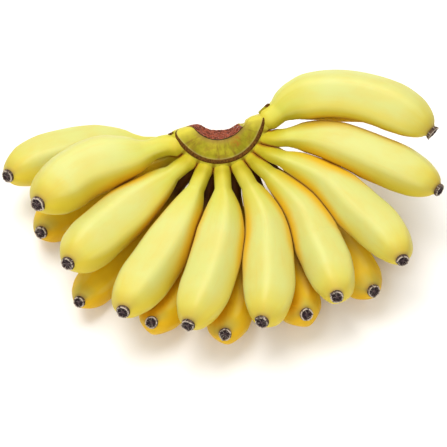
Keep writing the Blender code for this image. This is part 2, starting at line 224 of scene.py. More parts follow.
# %% Thickness along the finger
BASE_SHARE, STALK_SHARE = 0.41, 0.34
SHOULDER_PLACES = (0.0, 0.07, 0.16, 0.28)
SHOULDER_SHARES = (0.45, 0.65, 0.82, 0.97)
FULL_PLACE = 0.60
END_PLACES = (0.74, 0.86, 0.93, 0.975, 1.0)
END_SHARES = (1.0, 0.89, 0.70, 0.48, 0.27)


def smooth_curve(places, values, at):
    """Monotone cubic through the given values."""
    x, y = np.array(places), np.array(values)
    step, slope = np.diff(x), np.diff(y) / np.diff(x)
    tangent = np.zeros_like(y)
    both = slope[:-1] * slope[1:]
    tangent[1:-1] = np.where(both > 0, 2 * both / np.where(both > 0, slope[:-1] + slope[1:], 1), 0)
    k = np.clip(np.searchsorted(x, at, side="right") - 1, 0, len(x) - 2)
    t = (at - x[k]) / step[k]
    return (y[k] * (1 + 2 * t) * (1 - t) ** 2 + tangent[k] * step[k] * t * (1 - t) ** 2
            + y[k + 1] * t * t * (3 - 2 * t) + tangent[k + 1] * step[k] * t * t * (t - 1))


def radius_along(finger, at):
    neck, stalk = finger["neck"], STALK_SHARE * finger["stalk"]
    places = [0.0, 0.3 * neck, 0.75 * neck]
    shares = [BASE_SHARE, stalk, stalk]
    places += [neck + place * finger["fill"] for place in SHOULDER_PLACES]
    places += [FULL_PLACE, *END_PLACES]
    shares += [max(stalk, share) for share in SHOULDER_SHARES]
    shares += [1.0, *END_SHARES]
    return finger["girth"] * MM * smooth_curve(places, shares, np.asarray(at, dtype=float))


print("the first finger is", round(float(radius_along(FINGERS[0], 0.6)) * 2000, 1), "mm across")

# %% [markdown]
# ## The middle line of a finger
# The curl of a banana lies close to one plane. We start at the stalk's seat on the crown and turn the
# direction a little at each step, with a last tighter turn near the tip, where the fruit hooks round to face
# the light. The back of the fruit swells past its stalk, so the line is also pushed outwards there.

# %% The spine of each finger
SPINE_SAMPLES = 81
HEEL_FROM, HEEL_PEAK, HEEL_TO = 0.04, 0.28, 0.66
TIP_FROM, HOOK_FROM = 0.66, 0.74


class Spine:
    """Points along a finger's middle, with its direction, inner side and flank at each of them."""

    def __init__(self, finger):
        out = radial(finger["fan"])
        fan, swing = math.radians(finger["fan"]), math.radians(finger["swing"])
        inward = -(math.cos(fan) * RIGHT - math.sin(fan) * FRONT)
        curl = math.cos(swing) * AXIS + math.sin(swing) * inward
        self.places = np.linspace(0, 1, SPINE_SAMPLES)
        tip_turn = smooth_step((self.places - TIP_FROM) / (1 - TIP_FROM))
        angle = np.radians(finger["lift"] + finger["bend"] * self.places + finger["tip"] * tip_turn)
        cosine, sine = np.cos(angle)[:, None], np.sin(angle)[:, None]
        way, inner = cosine * out + sine * curl, cosine * curl - sine * out
        start = HAND_PLACE + SEAT_RADIUS * radial(finger["seat"]) + ROW_OFFSET[finger["row"]] * AXIS
        steps = (way[1:] + way[:-1]) / 2 * finger["length"] * MM / (SPINE_SAMPLES - 1)
        points = np.vstack([start, start + np.cumsum(steps, axis=0)])
        peak = HEEL_FROM + (HEEL_PEAK - HEEL_FROM) * finger["fill"]
        swell = (smooth_step((self.places - HEEL_FROM) / (peak - HEEL_FROM))
                 * smooth_step((HEEL_TO - self.places) / (HEEL_TO - peak)))
        lean = np.clip((self.places - HOOK_FROM) / (1 - HOOK_FROM), 0, 1) ** 2
        girth = finger["girth"] * MM
        self.points = points - (finger["heel"] * girth * swell)[:, None] * inner
        self.points += (finger["hook"] * girth * lean)[:, None] * np.cross(out, curl)
        way = np.gradient(self.points, axis=0)
        self.along = way / np.linalg.norm(way, axis=1, keepdims=True)
        inner = inner - (inner * self.along).sum(axis=1)[:, None] * self.along
        self.inner = inner / np.linalg.norm(inner, axis=1, keepdims=True)
        self.flank = np.cross(self.along, self.inner)
        self.radii = radius_along(finger, self.places)

    def at(self, share, line):
        return np.stack([np.interp(share, self.places, line[:, k]) for k in range(3)], axis=-1)

    def clearance(self, points):
        """Distance from each point to this finger's skin, negative inside."""
        apart = np.linalg.norm(points[:, None] - self.points[None], axis=2)
        return (apart - self.radii).min(axis=1)


SPINES = {finger["name"]: Spine(finger) for finger in FINGERS}
print("longest finger", max(finger["length"] for finger in FINGERS), "mm along its curve")

# %% [markdown]
# ## Fingers that press on each other
# Bananas in a hand grow tight together, so their sides go flat where they meet. Instead of a simulation we
# use a rule: a point of one finger may stay where it is only if it is nearer to its own skin line than to
# its neighbour's. Where it isn't, we draw it in towards the middle of its own finger until it is. Both
# fingers then flatten against the same surface halfway between them. The bellies flatten on the floor too.
# The distance to the nearest neighbour is kept as well, for the painted shade that deepens the peel's colour
# in the clefts.

# %% Make room between neighbours
NEAR = 45 * MM
HALVINGS = 12


def neighbours_of(name):
    own = SPINES[name]
    return [spine for other, spine in SPINES.items() if other != name
            and np.linalg.norm(own.points[:, None] - spine.points[None], axis=2).min() < NEAR]


def make_room(name, middles, points):
    """Draw points in towards their middles where a neighbour presses, and keep them above the floor."""
    own, neighbours = SPINES[name], neighbours_of(name)

    def fits(trial):
        mine = own.clearance(trial)
        good = np.ones(len(trial), dtype=bool)
        for spine in neighbours:
            good &= spine.clearance(trial) - mine >= GAP
        return good

    moved = points.copy()
    tight = np.flatnonzero(~fits(points))
    low, high = np.zeros(len(tight)), np.ones(len(tight))
    for _ in range(HALVINGS):
        share = (low + high) / 2
        good = fits(middles[tight] + share[:, None] * (points[tight] - middles[tight]))
        low, high = np.where(good, share, low), np.where(good, high, share)
    moved[tight] = middles[tight] + low[:, None] * (points[tight] - middles[tight])
    moved[:, 2] = np.maximum(moved[:, 2], 0.0)
    return moved


def space_to_neighbours(name, points):
    """Distance from each point to the nearest other finger's round skin."""
    return np.min([spine.clearance(points) for spine in neighbours_of(name)], axis=0)


print("points are moved in", HALVINGS, "halvings")

# %% [markdown]
# ## The skin of a finger
# The peel is a tube of rings. Its outline is a rounded pentagon: broad flats with a low ridge between them,
# and slow waves keep it from looking turned on a lathe. Each point also stores how far along the finger and
# how far round it lies, how far it faces away from the light, how near it is to a ridge, and how near it is
# to other fingers. The peel material reads these, so its streaks follow the fruit and not the world, and it
# paints shade on the side away from the light and in the clefts between fingers.

# %% Build a finger's mesh
SIDES = 56
RINGS = 96
FLATS = 5
AWAY_FROM_LIGHT = np.array([0.30, -0.50, -0.81])     # the peel gets a painted golden shade on the side that faces this way
CORNER_SHARPNESS = 9.0
CORNER_AMOUNT = 0.60                # 0 is round, 1 is a full pentagon
MEAN_RADIUS = 1.055                 # of the full pentagon
TWIST = math.radians(8)
# how far the painted shade of the clefts and of touching fingers reaches
CLEFT_REACH, TOUCH_REACH = 11.0 * MM, 3.0 * MM
ROOT_RADIUS, ROOT_RINGS, ROOT_SINK = 30.0 * MM, 4, 1.6 * MM   # how far each stalk runs on into the crown
ROOT_TRIES = np.arange(0.5, 12.0, 0.25) * MM
ROOT_TAPER = 0.15
NECK_BLEND, TIP_BLEND = 0.16, 0.10  # shares of the length over which ridges and waves fade
RIDGE_LEFT = 0.35                   # how much of the ridges is left where they fade
RING_BUNCHING = 0.97
# for each slow wave of the skin: how deep it is, how often it goes round, and its turn from stalk to tip
WAVES = ((0.006, 0, 2.6 * math.pi), (0.004, 0, 6.2 * math.pi),
         (0.006, 1, 3.0), (0.004, 3, 5.0), (0.003, 2, -11.0))
SKIN_APART = 17.0                   # keeps one finger's texture from repeating on the next
TINY = 1e-9


def root_length(spine):
    """How far the stalk's line, drawn on backwards, goes before it is well inside the crown."""
    for back in ROOT_TRIES:
        place = spine.points[0] - back * spine.along[0] - CROWN_MIDDLE
        if math.hypot(place @ RIGHT, place @ FRONT) < ROOT_RADIUS:
            return back
    return back


def pentagon(turn):
    """Radius of a rounded pentagon with one flat facing turn 0."""
    flats = np.cos(turn[:, None] - 2 * math.pi / FLATS * np.arange(FLATS))
    return (np.clip(flats, 0, None) ** CORNER_SHARPNESS).sum(axis=1) ** (-1 / CORNER_SHARPNESS)


def add_object(name, mesh, material):
    """A smoothly shaded object of one material."""
    mesh.materials.append(material)
    mesh.shade_smooth()
    made = bpy.data.objects.new(name, mesh)
    bpy.context.scene.collection.objects.link(made)
    return made


def tube_mesh(name, rings):
    """A tube of quads through rings of points, closed at each end by a fan round the ring's middle."""
    count, sides = rings.shape[:2]
    points = rings.reshape(-1, 3).tolist()
    faces = []
    for first in range(0, (count - 1) * sides, sides):
        for k in range(sides):
            here, beside = first + k, first + (k + 1) % sides
            faces.append((here, beside, beside + sides, here + sides))
    for ring, first in ((rings[0], 0), (rings[-1], (count - 1) * sides)):
        points.append(ring.mean(axis=0).tolist())
        for k in range(sides):
            edge = (first + k, first + (k + 1) % sides)
            faces.append((*(edge[::-1] if first == 0 else edge), len(points) - 1))
    mesh = bpy.data.meshes.new(name)
    mesh.from_pydata(points, [], faces)
    shape = bmesh.new()
    shape.from_mesh(mesh)
    bmesh.ops.recalc_face_normals(shape, faces=shape.faces)
    shape.to_mesh(mesh)
    shape.free()
    return mesh


def store(mesh, name, values, ends=None):
    """Keep a number or a vector for each point. The two closing points take ends, or else the last value."""
    values = np.asarray(values, dtype=float)
    if ends is None:
        missing = len(mesh.vertices) - len(values)
        values = np.concatenate([values, np.repeat(values[-1:], missing, axis=0)])
    else:
        values = np.append(values, ends)
    kind, key = ("FLOAT", "value") if values.ndim == 1 else ("FLOAT_VECTOR", "vector")
    mesh.attributes.new(name, kind, "POINT").data.foreach_set(key, values.astype(np.float32).ravel())


def finger_mesh(finger, index):
    """The skin of one finger, with the masks that its peel reads."""
    spine, length = SPINES[finger["name"]], finger["length"] * MM
    rng = random.Random(index)
    phases = [rng.uniform(0, 2 * math.pi) for _ in WAVES]
    roll = math.radians(rng.uniform(-5, 5))
    turn = 2 * math.pi * np.arange(SIDES) / SIDES
    root = root_length(spine) / length
    share = np.concatenate([-root * np.linspace(1, 1 / ROOT_RINGS, ROOT_RINGS),
                            np.linspace(0, 1, RINGS) ** RING_BUNCHING])
    middles, rings, crests = [], [], []
    for s in share:
        inner, flank = spine.at(s, spine.inner), spine.at(s, spine.flank)
        turned = turn - roll - TWIST * (s - 0.5)
        body = float(smooth_step(s / NECK_BLEND) * smooth_step((1.0 - s) / TIP_BLEND))
        corners = CORNER_AMOUNT * (pentagon(turned) - MEAN_RADIUS)
        wave = sum(depth * np.sin(around * turn + phase + onward * s)
                   for (depth, around, onward), phase in zip(WAVES, phases))
        ridged = corners * (RIDGE_LEFT + (1 - RIDGE_LEFT) * body)
        radius = radius_along(finger, max(s, 0.0)) * (1 + ridged + wave * body)
        middle = spine.at(s, spine.points)
        if s < 0:
            middle = middle + s * length * spine.along[0] + s / root * ROOT_SINK * AXIS
            radius = radius * (1 + ROOT_TAPER * s / root)
        rings.append(middle + (radius * np.cos(turn))[:, None] * inner
                     + (radius * np.sin(turn))[:, None] * flank)
        middles.append(middle)
        crests.append(((1 - np.cos(FLATS * turned)) / 2) ** 3 * body)
    centres = np.repeat(np.array(middles), SIDES, axis=0)
    points = make_room(finger["name"], centres, np.array(rings).reshape(-1, 3))
    space = space_to_neighbours(finger["name"], points)
    mesh = tube_mesh(f"peel_{finger['name']}", points.reshape(len(share), SIDES, 3))
    skin = np.tile(np.stack([np.zeros(SIDES), np.cos(turn), np.sin(turn)], axis=-1), (len(share), 1))
    skin[:, 0] = np.repeat(share * finger["length"] / finger["girth"] + SKIN_APART * index, SIDES)
    store(mesh, "along", np.repeat(np.maximum(share, 0.0), SIDES), ends=(0.0, 1.0))
    store(mesh, "skin", skin)
    store(mesh, "side", np.tile(np.cos(turn), len(share)))
    # painted shade: how far each point faces away from the key light
    # a point drawn right in to the middle has no outward way, and its lean stays 0
    reach = np.maximum(np.linalg.norm(points - centres, axis=1, keepdims=True), TINY)
    store(mesh, "away", (points - centres) / reach @ AWAY_FROM_LIGHT)
    store(mesh, "crest", np.array(crests).ravel())
    # painted shade: nearness to other fingers darkens the clefts and the places where fingers touch
    store(mesh, "cleft_shade", 1 - smooth_step(space / CLEFT_REACH))
    store(mesh, "touch_shade", 1 - smooth_step(space / TOUCH_REACH))
    return mesh


print("points in a finger:", SIDES * RINGS)

# %% [markdown]
# ## Shader building blocks
# Several finishes need the same things: soft clouds of colour, and small scattered specks. We build each as
# a node group with named inputs and place it in the materials with different values. Clouds that are
# stretched far one way also make the fine lengthwise streaks. Small helpers add nodes and wire them, which
# keeps the material recipes readable.

# %% Node helpers and shared groups


def new_group(name, inputs, outputs):
    """An empty node group. inputs are (name, kind, value) and outputs are (name, kind)."""
    tree = bpy.data.node_groups.new(name, "ShaderNodeTree")
    for label, kind, value in inputs:
        socket = tree.interface.new_socket(name=label, in_out="INPUT", socket_type=kind)
        if value is not None:
            socket.default_value = value
    for label, kind in outputs:
        tree.interface.new_socket(name=label, in_out="OUTPUT", socket_type=kind)
    return tree, tree.nodes.new("NodeGroupInput"), tree.nodes.new("NodeGroupOutput")


def node(tree, kind, **settings):
    """A node whose settings, or default input values, are given by name."""
    made = tree.nodes.new(kind)
    for name, value in settings.items():
        if hasattr(made, name):
            setattr(made, name, value)
        else:
            made.inputs[name.replace("_", " ")].default_value = value
    return made


def math_node(tree, operation, first, second):
    """One sum on two values. Each may be a socket or a number."""
    made = tree.nodes.new("ShaderNodeMath")
    made.operation = operation
    for k, value in enumerate((first, second)):
        if isinstance(value, (int, float)):
            made.inputs[k].default_value = value
        else:
            tree.links.new(value, made.inputs[k])
    return made.outputs[0]


def scaled(tree, value, factor):
    return math_node(tree, "MULTIPLY", value, factor)


def spread(tree, value, low, high, to_low=0.0, to_high=1.0):
    """Stretch a value from one range to another, with soft ends."""
    made = tree.nodes.new("ShaderNodeMapRange")
    made.interpolation_type = "SMOOTHSTEP"
    tree.links.new(value, made.inputs["Value"])
    for label, number in (("From Min", low), ("From Max", high), ("To Min", to_low), ("To Max", to_high)):
        made.inputs[label].default_value = number
    return made.outputs["Result"]


def mix(tree, amount, first, second):
    """Mix two colours. Each may be a socket or a colour."""
    made = tree.nodes.new("ShaderNodeMix")
    made.data_type = "RGBA"
    for socket, value in zip((made.inputs[0], made.inputs[6], made.inputs[7]), (amount, first, second)):
        if isinstance(value, (int, float)):
            socket.default_value = value
        elif isinstance(value, tuple):
            socket.default_value = (*value, 1.0)
        else:
            tree.links.new(value, socket)
    return made.outputs[2]


def clouds_group():
    """Soft clouds that can be stretched along the finger."""
    tree, inside, outside = new_group(
        "soft_clouds",
        [("Coordinates", "NodeSocketVector", None), ("Stretch", "NodeSocketVector", (1.0, 1.0, 1.0)),
         ("Scale", "NodeSocketFloat", 1.0), ("Detail", "NodeSocketFloat", 3.0),
         ("Low", "NodeSocketFloat", 0.35), ("High", "NodeSocketFloat", 0.65)],
        [("Mask", "NodeSocketFloat")])
    sized = node(tree, "ShaderNodeVectorMath", operation="MULTIPLY")
    texture = node(tree, "ShaderNodeTexNoise", Roughness=0.55)
    ends = node(tree, "ShaderNodeMapRange", interpolation_type="SMOOTHSTEP")
    link = tree.links.new
    link(inside.outputs["Coordinates"], sized.inputs[0])
    link(inside.outputs["Stretch"], sized.inputs[1])
    link(sized.outputs[0], texture.inputs["Vector"])
    link(inside.outputs["Scale"], texture.inputs["Scale"])
    link(inside.outputs["Detail"], texture.inputs["Detail"])
    link(texture.outputs["Fac"], ends.inputs["Value"])
    link(inside.outputs["Low"], ends.inputs["From Min"])
    link(inside.outputs["High"], ends.inputs["From Max"])
    link(ends.outputs["Result"], outside.inputs["Mask"])
    return tree


def specks_group():
    """Small scattered marks: a mask that is 1 in the middle of each mark."""
    tree, inside, outside = new_group(
        "scattered_specks",
        [("Coordinates", "NodeSocketVector", None), ("Scale", "NodeSocketFloat", 6.0),
         ("Size", "NodeSocketFloat", 0.12), ("Share", "NodeSocketFloat", 0.5)],
        [("Mask", "NodeSocketFloat")])
    cells = node(tree, "ShaderNodeTexVoronoi", Randomness=1.0)
    tree.links.new(inside.outputs["Coordinates"], cells.inputs["Vector"])
    tree.links.new(inside.outputs["Scale"], cells.inputs["Scale"])
    near = math_node(tree, "DIVIDE", cells.outputs["Distance"], inside.outputs["Size"])
    spot = spread(tree, near, 0.4, 1.0, 1.0, 0.0)
    parts = node(tree, "ShaderNodeSeparateColor")
    tree.links.new(cells.outputs["Color"], parts.inputs["Color"])
    chosen = math_node(tree, "LESS_THAN", parts.outputs["Red"], inside.outputs["Share"])
    tree.links.new(scaled(tree, spot, chosen), outside.inputs["Mask"])
    return tree


CLOUDS, SPECKS = clouds_group(), specks_group()


def place_group(tree, group, coordinates, **values):
    """Put a shared group into a material with its own values, and return its mask."""
    made = tree.nodes.new("ShaderNodeGroup")
    made.node_tree = group
    tree.links.new(coordinates, made.inputs["Coordinates"])
    for label, value in values.items():
        made.inputs[label].default_value = value
    return made.outputs["Mask"]


def start_material(name):
    made = bpy.data.materials.new(name)
    made.use_nodes = True
    return made, made.node_tree, made.node_tree.nodes["Principled BSDF"]


def number(tree, name):
    """Read a number that the mesh stores at its points."""
    return node(tree, "ShaderNodeAttribute", attribute_name=name).outputs["Fac"]


def place_on(tree, name):
    """Read a place that the mesh stores at its points, for textures that follow the skin."""
    return node(tree, "ShaderNodeAttribute", attribute_name=name).outputs["Vector"]


def bump(tree, shader, height, strength, distance):
    made = node(tree, "ShaderNodeBump", Strength=strength, Distance=distance)
    tree.links.new(height, made.inputs["Height"])
    tree.links.new(made.outputs["Normal"], shader.inputs["Normal"])


print("shared groups:", CLOUDS.name, "and", SPECKS.name)

# %% [markdown]
# ## The peel
# Ripe peel is lemon yellow where it faces the light. Painted shade turns it golden on the side away from the
# key light, on the flanks and in the clefts between fingers, where each fruit also colours the light that its
# neighbour throws back, and a painted contact shadow makes it deep orange-brown where two fingers touch. It is
# warmer on the stalk by the crown, a little greener where the stalk runs into the body, deeper near the tip,
# and dull round the dried flower. The ridges are slightly paler. Over that lie soft clouds, fine lengthwise
# streaks and a few brown specks. The lower fingers get the same recipe with deeper colours as painted shade,
# and most of their stalks get a dark painted shadow in the folds behind the upper ones.

# %% The two peel materials
# the fold colour is a painted shadow for lower stalks in the folds
RIDGE_COLOUR, FOLD_SHADE_COLOUR, SPECK_COLOUR = (0.64, 0.62, 0.22), (0.10, 0.030, 0.002), (0.22, 0.11, 0.02)
LIGHT_DEPTH = (5.0 * MM, 2.5 * MM, 0.5 * MM)     # how deep red, green and blue light go into the peel


def along_ramp(tree, along, stops):
    """Colours at places along the finger."""
    ramp = tree.nodes.new("ShaderNodeValToRGB")
    tree.links.new(along, ramp.inputs["Fac"])
    elements = ramp.color_ramp.elements
    while len(elements) < len(stops):
        elements.new(0.5)
    for element, (place, colour) in zip(elements, stops):
        element.position = place
        element.color = (*colour, 1.0)
    return ramp.outputs["Color"]


def peel_material(name, stops, away_shade, golden, olive, contact_shade, speck_amount, shine):
    made, tree, shader = start_material(name)
    skin, along, side = place_on(tree, "skin"), number(tree, "along"), number(tree, "side")
    cleft_shade, touch_shade = number(tree, "cleft_shade"), number(tree, "touch_shade")
    past_stalk = spread(tree, along, 0.10, 0.32)
    colour = along_ramp(tree, along, stops)
    clouds = place_group(tree, CLOUDS, skin, Stretch=(0.5, 0.9, 0.9), Scale=1.3, Detail=3.0,
                         Low=0.36, High=0.70)
    colour = mix(tree, scaled(tree, clouds, 0.20), colour, golden)
    # painted shade in the clefts: olive on the stalk, golden on the body; the same tint also colours the
    # streaks
    flank = mix(tree, past_stalk, olive, golden)
    # painted shade: the side that faces away from the key light turns golden
    away = spread(tree, number(tree, "away"), -0.50, 0.50, 0.0, 0.90)
    near = spread(tree, cleft_shade, 0.0, 0.9, 0.0, 0.95)
    colour = mix(tree, away, colour, mix(tree, past_stalk, olive, away_shade))
    colour = mix(tree, near, colour, flank)
    # painted contact shadow: deep orange-brown where two fingers touch
    colour = mix(tree, spread(tree, touch_shade, 0.2, 1.0, 0.0, 0.9), colour, contact_shade)
    pale = scaled(tree, spread(tree, number(tree, "crest"), 0.3, 1.0), 0.18)
    colour = mix(tree, pale, colour, RIDGE_COLOUR)
    streaks = place_group(tree, CLOUDS, skin, Stretch=(0.35, 7.0, 7.0), Scale=1.4, Detail=5.0,
                          Low=0.5, High=0.8)
    colour = mix(tree, scaled(tree, streaks, 0.14), colour, flank)
    # painted shadow: the inner side of a lower stalk goes dark in the fold behind the upper fingers
    shaded = scaled(tree, spread(tree, along, 0.34, 0.16), spread(tree, side, -0.3, 0.5))
    colour = mix(tree, scaled(tree, shaded, number(tree, "shade")), colour, FOLD_SHADE_COLOUR)
    specks = place_group(tree, SPECKS, skin, Scale=4.2, Size=0.05, Share=0.12)
    colour = mix(tree, scaled(tree, specks, speck_amount), colour, SPECK_COLOUR)
    tree.links.new(colour, shader.inputs["Base Color"])
    waxy, matt = spread(tree, clouds, 0.0, 1.0, 0.46, 0.56), spread(tree, cleft_shade, 0.0, 0.8, 0.40, 0.95)
    tree.links.new(math_node(tree, "MAXIMUM", waxy, matt), shader.inputs["Roughness"])
    shader.inputs["Specular IOR Level"].default_value = shine
    shader.inputs["Subsurface Weight"].default_value = 0.10
    shader.inputs["Subsurface Radius"].default_value = LIGHT_DEPTH
    shader.inputs["Subsurface Scale"].default_value = 1.0
    pores = place_group(tree, CLOUDS, skin, Stretch=(3.0, 9.0, 9.0), Scale=3.0, Detail=4.0, Low=0.2, High=0.8)
    bump(tree, shader, math_node(tree, "ADD", scaled(tree, pores, 0.35), streaks), 0.08, 0.6 * MM)
    return made


top_peel = peel_material(
    "peel_top",
    [(0.0, (0.56, 0.46, 0.035)), (0.04, (0.57, 0.51, 0.05)), (0.12, (0.54, 0.53, 0.075)),
     (0.24, (0.55, 0.55, 0.12)), (0.40, (0.56, 0.565, 0.18)), (0.82, (0.56, 0.555, 0.165)),
     (0.94, (0.56, 0.50, 0.085)), (0.985, (0.50, 0.40, 0.05)), (1.0, (0.36, 0.25, 0.06))],
    away_shade=(0.68, 0.53, 0.03), golden=(0.64, 0.38, 0.003), olive=(0.46, 0.38, 0.012), contact_shade=(0.33, 0.11, 0.001),
    speck_amount=0.45, shine=0.26)
# the lower row's peel: the same recipe with deeper colours, as painted shade
shaded_under_peel = peel_material(
    "peel_under",
    [(0.0, (0.56, 0.36, 0.01)), (0.12, (0.60, 0.38, 0.008)), (0.40, (0.71, 0.445, 0.006)),
     (0.80, (0.72, 0.47, 0.010)), (0.93, (0.66, 0.45, 0.02)), (0.985, (0.44, 0.35, 0.05)),
     (1.0, (0.26, 0.18, 0.05))],
    away_shade=(0.72, 0.42, 0.004), golden=(0.70, 0.34, 0.001), olive=(0.48, 0.36, 0.01), contact_shade=(0.32, 0.09, 0.0005),
    speck_amount=0.5, shine=0.12)
print("peel materials:", top_peel.name, shaded_under_peel.name)

# %% [markdown]
# ## Dress the fingers
# Now each solid finger is replaced by its finer skin. The solid stays in the physics model, and the skin
# keeps its place and size. The lower row's peel carries painted shade, but the outermost lower finger lies in
# the light, so it wears the top row's peel. Three lower stalks don't lie in a fold behind the upper ones, so
# they get no painted fold shadow and stay pale.

# %% Make the eighteen fingers
IN_THE_LIGHT = {"under_1"}
UNSHADED_STALKS = {"under_1", "under_2", "under_9"}


def dress(piece, slot, *nodes):
    """The piece rides with the hand and stands for the given solids. The slot is not used."""
    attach(piece, "root")
    if nodes:
        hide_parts(*nodes)


for index, finger in enumerate(FINGERS):
    light_side = finger["row"] == "top" or finger["name"] in IN_THE_LIGHT
    peel, slot = (top_peel, "peel_top") if light_side else (shaded_under_peel, "peel_under")
    skin_mesh = finger_mesh(finger, index)
    # lower stalks that lie in a fold get the painted fold shadow
    gets_fold_shade = finger["row"] == "under" and finger["name"] not in UNSHADED_STALKS
    store(skin_mesh, "shade", np.full(len(skin_mesh.vertices), 1.0 if gets_fold_shade else 0.0))
    piece = add_object(f"peel_{finger['name']}", skin_mesh, peel)
    dress(piece, slot, f"finger_{finger['name']}")
print("fingers dressed:", len(FINGERS))

# %% [markdown]
# ## The dried flower ends
# Each tip carries what is left of the flower: a short, dark cup with a ragged rim, a lighter grey ring
# round it, and a pit in the middle with a withered stub. It is a turned shape, but we shake its rim with a
# seeded draw. A few ends kept a dry point of petal, and the list says which way it shows in the picture,
# in degrees from the right, and how far it stands out.

# %% Make a flower end
FLOWER_SIDES = 40
FLOWER_LENGTH = 2.6 * MM
FLOWER_GAP = 0.15 * MM
RIM_SHAKE, HEIGHT_SHAKE = 0.9, 0.5
PETAL_WIDTH = 0.17                  # of a dry point of petal, in radians
FLOWER_APART = 3.1                  # keeps one flower end's texture from repeating on the next
# height over the seat and radius, as shares of the length and of the seat's radius,
# and how much of the ragged edge each ring takes
FLOWER_PROFILE = [(0.00, 0.93, 0.0), (0.10, 0.99, 0.1), (0.35, 1.01, 0.3), (0.65, 0.99, 0.5),
                  (0.88, 0.95, 0.8), (1.00, 0.88, 1.0), (0.98, 0.80, 1.0), (0.86, 0.71, 0.7),
                  (0.70, 0.60, 0.4), (0.62, 0.46, 0.2), (0.66, 0.32, 0.2), (0.80, 0.22, 0.4),
                  (0.88, 0.12, 0.4)]
PETAL_POINTS = {"top_1": [(-25, 0.35)], "top_4": [(35, 0.75)], "top_5": [(140, 0.40)], "top_6": [(150, 0.35)],
                "top_7": [(180, 0.40)], "top_9": [(58, 0.45), (232, 0.40)]}


def flower_mesh(finger, index):
    """The dried flower on one tip, with a mask that goes from its foot to the middle of its pit."""
    spine = SPINES[finger["name"]]
    along, inner, flank = spine.along[-1], spine.inner[-1], spine.flank[-1]
    rng = random.Random(500 + index)
    turn = 2 * math.pi * np.arange(FLOWER_SIDES) / FLOWER_SIDES
    ragged = sum(rng.uniform(0.01, 0.035) * np.sin(n * turn + rng.uniform(0, 6.28)) for n in (2, 3, 5, 8, 13))
    for bearing, size in PETAL_POINTS.get(finger["name"], [(rng.uniform(0, 360), rng.uniform(0.0, 0.2))]):
        shown = math.cos(math.radians(bearing)) * picture_right + math.sin(math.radians(bearing)) * picture_up
        at = math.atan2(flank @ shown, inner @ shown)
        apart = np.angle(np.exp(1j * (turn - at)))
        ragged = ragged + size * np.exp(-(apart / PETAL_WIDTH) ** 2)
    seat = finger["girth"] * MM * END_SHARES[-1]
    rings = []
    for height, radius, shake in FLOWER_PROFILE:
        radii = seat * radius * (1 + RIM_SHAKE * shake * ragged)
        heights = FLOWER_GAP + FLOWER_LENGTH * height * (1 + HEIGHT_SHAKE * shake * ragged)
        rings.append(spine.points[-1] + heights[:, None] * along + (radii * np.cos(turn))[:, None] * inner
                     + (radii * np.sin(turn))[:, None] * flank)
    mesh = tube_mesh(f"dried_flower_{finger['name']}", np.array(rings))
    inwards = np.repeat(np.arange(len(rings)) / (len(rings) - 1), FLOWER_SIDES)
    store(mesh, "inwards", inwards, ends=(0.0, 1.0))
    skin = np.tile(np.stack([np.cos(turn), np.sin(turn), np.zeros(FLOWER_SIDES)], axis=-1), (len(rings), 1))
    skin[:, 2] = FLOWER_APART * index + inwards
    store(mesh, "skin", skin)
    return mesh


print("rings in a flower end:", len(FLOWER_PROFILE))

# %% [markdown]
# Its finish goes from brown outside, through a dusty grey rim, to purple-black inside. The grey sits on the
# rim only in patches, and fine fibres run outwards from the pit.

# %% The dried flower material


def flower_material():
    made, tree, shader = start_material("dried_flower")
    skin = place_on(tree, "skin")
    colour = along_ramp(tree, number(tree, "inwards"), [
        (0.0, (0.16, 0.10, 0.03)), (0.14, (0.07, 0.040, 0.022)), (0.30, (0.12, 0.080, 0.055)),
        (0.38, (0.60, 0.51, 0.40)), (0.50, (0.46, 0.38, 0.31)), (0.57, (0.035, 0.018, 0.018)),
        (0.80, (0.015, 0.008, 0.012)), (1.0, (0.09, 0.05, 0.06))])
    dust = place_group(tree, CLOUDS, skin, Scale=2.6, Detail=4.0, Low=0.50, High=0.60)
    colour = mix(tree, scaled(tree, dust, 0.85), colour, (0.030, 0.016, 0.016))
    fibres = place_group(tree, CLOUDS, skin, Stretch=(3.0, 3.0, 1.0), Scale=1.8, Detail=4.0,
                         Low=0.54, High=0.68)
    colour = mix(tree, scaled(tree, fibres, 0.6), colour, (0.62, 0.52, 0.42))
    tree.links.new(colour, shader.inputs["Base Color"])
    shader.inputs["Roughness"].default_value = 0.8
    shader.inputs["Specular IOR Level"].default_value = 0.2
    bump(tree, shader, math_node(tree, "ADD", dust, fibres), 0.7, 0.5 * MM)
    return made


dried = flower_material()
for index, finger in enumerate(FINGERS):
    piece = add_object(f"dried_flower_{finger['name']}", flower_mesh(finger, index), dried)
    dress(piece, "dried_flower", f"flower_end_{finger['name']}")
print("flower ends dressed:", len(FINGERS))

# %% [markdown]
# ## The crown
# The crown is the cushion of stalk that joins the hand. Seen along the hand's axis it is a half ring: its
# outer wall is a web of fused stalk bases with a crease between each two, a raised brown scar marks where a
# leaf-like bract once sat, and its inner side is the cut. We sweep one section round the axis. The section
# changes as it goes, because the cut is steep at the crown's ends and slopes in at the middle.

